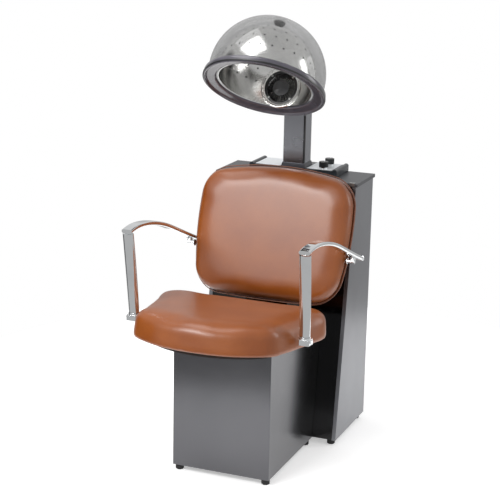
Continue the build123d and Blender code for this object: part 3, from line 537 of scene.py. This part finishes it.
def buildRim():
    points = smoothLine([(r / 1000, z / 1000) for r, z in rimShape["profile"]], rimShape["detail"],
                        closed=True)
    bm = spinProfile(points, rimShape["steps"], closed=True)
    finishPiece("rimRing", meshFrom(bm, "rimRing", hoodPlace), finishes["rim"], "hood",
                ("rim_ring",), 60)


# heights are along the blower's axis, from the middle of the bowl
grilleShape = {"outer": 0.0535, "inner": 0.0455, "face": 0.1340, "back": 0.1402, "lip": 0.0016, "hub": 0.026,
               "rings": (0.031, 0.036, 0.041), "wire": 0.0008, "wireRise": 0.0024,
               "vanes": 28, "vaneTilt": 24, "vaneRise": 0.0038, "vaneThick": 0.0011, "vaneDeep": 0.0044,
               "ridges": 26, "ridgeHigh": 0.0005, "domeHigh": 0.0052, "hubDrop": 0.0046}


def buildGrille():
    g = grilleShape
    inner, outer, face, back, lip = (g[k] for k in ("inner", "outer", "face", "back", "lip"))
    ring = smoothLine([(inner, back), (inner, face + lip), (inner + lip, face), (outer - lip, face),
                       (outer, face + lip), (outer, back)], 4, closed=True)
    bm = spinProfile(ring, 96, closed=True)
    for radius in g["rings"]:
        wire = [(radius + g["wire"] * math.cos(a), face + g["wireRise"] + g["wire"] * math.sin(a))
                for a in (k * math.pi / 4 for k in range(8))]
        spinProfile(wire, 72, closed=True, bm=bm)
    for k in range(g["vanes"]):
        turn = Matrix.Rotation(2 * math.pi * k / g["vanes"], 4, "Z")
        vane = turn @ Matrix.Translation(((g["hub"] + inner) / 2, 0, face + g["vaneRise"])) @ \
            Matrix.Rotation(math.radians(g["vaneTilt"]), 4, "X") @ \
            Matrix.Diagonal((inner - g["hub"] + 0.003, g["vaneThick"], g["vaneDeep"], 1))
        bmesh.ops.create_cube(bm, size=1.0, matrix=vane)
    finishPiece("intakeGrille", meshFrom(bm, "intakeGrille", blowerPlace), finishes["grille"], "hood",
                ("intake_grille",), 40)
    hub = [(0.0, face - g["hubDrop"])]
    for k in range(1, g["ridges"] + 1):      # a low dome with turned ridges
        radius = g["hub"] * k / g["ridges"]
        dome = g["domeHigh"] * (radius / g["hub"]) ** 2
        ridge = g["ridgeHigh"] * math.cos(k * math.pi / 2)
        hub.append((radius, face - g["hubDrop"] + dome + ridge))
    hub += [(g["hub"] + 0.0008, face + 0.0018), (g["hub"], face + g["hubDrop"]),
            (0.0, face + g["hubDrop"])]
    bm = spinProfile(hub, 72)
    finishPiece("grilleHub", meshFrom(bm, "grilleHub", blowerPlace), finishes["grilleHub"], "hood",
                (), 50)


collarShape = {"inner": 0.0540, "outer": 0.0660, "bowl": 0.1485, "slots": 24, "slotRadius": 0.0019,
               "slotDeep": 0.0012, "slotTilt": -22, "slotStretch": (1.5, 0.7, 1, 1)}


def buildGrilleCollar():
    # a pressed ring of polished aluminium round the grille, with a black lozenge every 15 degrees painted as
    # the shade in its slots
    c = collarShape
    inner, outer = c["inner"], c["outer"]
    innerHigh, outerHigh = (c["bowl"] * math.cos(math.asin(r / c["bowl"])) for r in (inner, outer))
    profile = [(inner, innerHigh + 0.001), (inner, innerHigh - 0.0042), (inner + 0.0012, innerHigh - 0.0052),
               (inner + 0.0045, innerHigh - 0.0058), (outer - 0.003, outerHigh - 0.0030),
               (outer, outerHigh - 0.0004), (outer + 0.0006, outerHigh + 0.0008)]
    bm = spinProfile(smoothLine(profile, 3), c["slots"] * 8)
    finishPiece("grilleCollar", meshFrom(bm, "grilleCollar", blowerPlace), finishes["aluminium"], "hood",
                (), 60)
    # painted shade: solid black lozenges on the ring stand for the dark inside the slots
    bm = bmesh.new()
    middle = (inner + outer) / 2
    height = (innerHigh + outerHigh) / 2 - 0.0042
    for k in range(c["slots"]):
        turn = Matrix.Rotation(2 * math.pi * (k + 0.5) / c["slots"], 4, "Z")
        spot = turn @ Matrix.Translation((middle + 0.0006, 0, height)) @ \
            Matrix.Rotation(math.radians(c["slotTilt"]), 4, "Y") @ Matrix.Diagonal(c["slotStretch"])
        bmesh.ops.create_cone(bm, cap_ends=True, segments=12, radius1=c["slotRadius"],
                              radius2=c["slotRadius"], depth=c["slotDeep"], matrix=spot)
    finishPiece("grilleCollarSlotShade", meshFrom(bm, "grilleCollarSlotShade", blowerPlace), finishes["trim"], "hood",
                (), 40)


# painted shade: black discs fill the bowl's air holes: (degrees above its equator, holes in that row)
bowlHoles = {"rows": [(12, 26), (27, 24), (42, 20), (57, 14), (72, 7)], "radius": 0.0027,
             "inside": 0.1480, "outside": 0.1505, "rise": 0.045, "rearGap": 34, "gapBelow": 40}


def buildBowlHoleShade():
    h = bowlHoles
    bm = bmesh.new()
    for rise, count in h["rows"]:
        for k in range(count):
            turn = 360 * (k + 0.5 * (rise % 2)) / count
            if min(abs(turn - 90), abs(turn - 450)) < h["rearGap"] and rise < h["gapBelow"]:
                continue
            around, up = math.radians(turn), math.radians(rise)
            outward = Vector((math.cos(up) * math.cos(around), math.cos(up) * math.sin(around),
                              math.sin(up)))
            middle = Vector((0, 0, h["rise"])) + outward * (h["inside"] + h["outside"]) / 2
            spot = Matrix.Translation(middle) @ \
                outward.to_track_quat("Z", "Y").to_matrix().to_4x4()
            bmesh.ops.create_cone(bm, cap_ends=True, segments=12, radius1=h["radius"], radius2=h["radius"],
                                  depth=h["outside"] - h["inside"], matrix=spot)
    # the black discs in the holes are painted shade, not an open view through them
    finishPiece("bowlHoleShadeDiscs", meshFrom(bm, "bowlHoleShadeDiscs", hoodPlace), finishes["trim"], "hood",
                (), 40)


# ---------- console: knob pointers and the printed scales round them

scaleShape = {"centreX": 0.097, "timerY": 0.206, "thermostatY": 0.266, "tickZ": 0.8669, "ticks": 13,
              "from": -135, "to": 135, "inner": 0.0178, "length": 0.0034, "width": 0.0007,
              "thick": 0.0004, "longTick": 1.4, "pointerShift": 0.0075, "pointerZ": 0.88985,
              "pointer": (0.0014, 0.010, 0.0006, 1)}


def buildScales():
    c = scaleShape
    bm = bmesh.new()
    for row in (c["timerY"], c["thermostatY"]):
        for k in range(c["ticks"]):
            angle = c["from"] + (c["to"] - c["from"]) * k / (c["ticks"] - 1)
            length = c["length"] * (c["longTick"] if k % 3 == 0 else 1.0)
            spot = Matrix.Translation((c["centreX"], row + backShift, c["tickZ"])) @ \
                Matrix.Rotation(math.radians(angle), 4, "Z") @ \
                Matrix.Translation((0, c["inner"] + length / 2, 0)) @ \
                Matrix.Diagonal((c["width"], length, c["thick"], 1))
            bmesh.ops.create_cube(bm, size=1.0, matrix=spot)
    finishPiece("consoleScales", meshFrom(bm, "consoleScales"), finishes["pointer"], "cabinet",
                (), 40)
    for name, body in (("timerPointer", "timer"), ("thermostatPointer", "thermostat")):
        bm = bmesh.new()
        spot = Matrix.Translation((c["centreX"], c[body + "Y"] + backShift + c["pointerShift"],
                                   c["pointerZ"]))
        bmesh.ops.create_cube(bm, size=1.0, matrix=spot @ Matrix.Diagonal(c["pointer"]))
        finishPiece(name, meshFrom(bm, name), finishes["pointer"], body, (), 40)


buildRim()
buildGrille()
buildGrilleCollar()
buildBowlHoleShade()
buildScales()
print("stage: hood details made")


# ---------- stage, light and camera

# softbox: power in watts, width, height, place, aim
softboxes = {
    "keySoftbox": (64.0, 1.7, 0.9, (-1.05, -2.5, 2.42), (0, 0.05, 0.75)),
    "topSoftbox": (20.0, 1.5, 1.3, (-0.7, -0.5, 2.9), (0, 0, 0.4)),
    "sideSoftbox": (12.0, 0.8, 1.6, (2.4, 1.4, 1.5), (0, 0, 0.7)),
}
pale = {"radius": 1.35, "centre": (0, 0.35, -0.0005), "glow": 0.42}      # the floor disc


def addSoftbox(name, power, sizeX, sizeY, place, aim):
    data = bpy.data.lights.new(name, "AREA")
    data.shape = "RECTANGLE"
    data.size, data.size_y, data.energy = sizeX, sizeY, power
    lamp = bpy.data.objects.new(name, data)
    scene.collection.objects.link(lamp)
    lamp.location = place
    lamp.rotation_mode = "QUATERNION"
    lamp.rotation_quaternion = (Vector(aim) - Vector(place)).to_track_quat("-Z", "Y")
    return lamp


def buildStudio():
    world = bpy.data.worlds.new("softStudio")
    scene.world = world
    world.use_nodes = True
    tree = world.node_tree
    tree.nodes.clear()
    direction = addNode(tree, "ShaderNodeTexCoord").outputs["Generated"]
    parts = addNode(tree, "ShaderNodeSeparateXYZ", None, {0: direction})
    rise = addNode(tree, "ShaderNodeMapRange", {"From Min": -1.0, "From Max": 1.0},
                   {"Value": parts.outputs["Z"]})
    tone = addNode(tree, "ShaderNodeValToRGB",
                   {"stops": [(0.0, grey(0.58)), (0.44, grey(0.62)), (0.5, grey(0.62)), (0.62, grey(0.9)),
                              (1.0, grey(0.78))]}, {"Fac": rise.outputs["Result"]})
    # a black flag at the chair's left, for dark lines in chrome
    side = addNode(tree, "ShaderNodeMapRange",
                   {"From Min": -0.93, "From Max": -0.87, "To Min": 0.02, "To Max": 1.0},
                   {"Value": parts.outputs["X"]})
    flagged = addNode(tree, "ShaderNodeMix", {"data_type": "RGBA", "blend_type": "MULTIPLY", 0: 1.0},
                      {6: tone.outputs["Color"], 7: side.outputs["Result"]})
    lit = addNode(tree, "ShaderNodeBackground", {"Strength": 0.8}, {"Color": flagged.outputs[2]})
    seen = addNode(tree, "ShaderNodeBackground", {"Color": grey(1.0), "Strength": 1.0})
    ray = addNode(tree, "ShaderNodeLightPath")
    mixed = addNode(tree, "ShaderNodeMixShader", None,
                    {0: ray.outputs["Is Camera Ray"], 1: lit.outputs[0], 2: seen.outputs[0]})
    output = addNode(tree, "ShaderNodeOutputWorld")
    tree.links.new(mixed.outputs[0], output.inputs["Surface"])

    # white matt floor with a faint glow, so that it reads as white as the background
    floorMaterial = startMaterial("paleFloorPaint", {
        "Base Color": toLinear("#fafafa"), "Roughness": 0.9,
        "Emission Color": grey(1.0), "Emission Strength": pale["glow"]})[0]
    bm = bmesh.new()
    bmesh.ops.create_circle(bm, cap_ends=True, radius=pale["radius"], segments=96)
    floor = bpy.data.objects.new("paleFloor",
                                 meshFrom(bm, "paleFloor", Matrix.Translation(pale["centre"])))
    scene.collection.objects.link(floor)
    floor.data.materials.append(floorMaterial)

    for name, (power, sizeX, sizeY, spot, aim) in softboxes.items():
        addSoftbox(name, power, sizeX, sizeY, spot, aim)


cameraView = {"place": (1.62371, -4.22523 + backShift, 1.81626), "azimuth": 21.8192,
              "elevation": 14.6833, "roll": 1.1948, "lens": 105.652, "shiftX": -0.00227, "shiftY": -0.00135}


def buildCamera():
    azimuth, elevation, roll = (math.radians(cameraView[k]) for k in ("azimuth", "elevation", "roll"))
    back = Vector((math.sin(azimuth) * math.cos(elevation), -math.cos(azimuth) * math.cos(elevation),
                   math.sin(elevation)))
    level = Vector((math.cos(azimuth), math.sin(azimuth), 0))
    upright = back.cross(level)
    right = math.cos(roll) * level + math.sin(roll) * upright
    up = -math.sin(roll) * level + math.cos(roll) * upright
    turn = Matrix((right, up, back)).transposed().to_4x4()
    data = bpy.data.cameras.new("studioCamera")
    data.lens, data.sensor_width = cameraView["lens"], 36.0
    data.shift_x, data.shift_y = cameraView["shiftX"], cameraView["shiftY"]
    data.clip_start, data.clip_end = 0.05, 300.0
    camera = bpy.data.objects.new("studioCamera", data)
    scene.collection.objects.link(camera)
    camera.matrix_world = Matrix.Translation(cameraView["place"]) @ turn
    scene.camera = camera


buildStudio()
buildCamera()
scene.view_settings.view_transform = "Standard"
print("stage: studio ready")
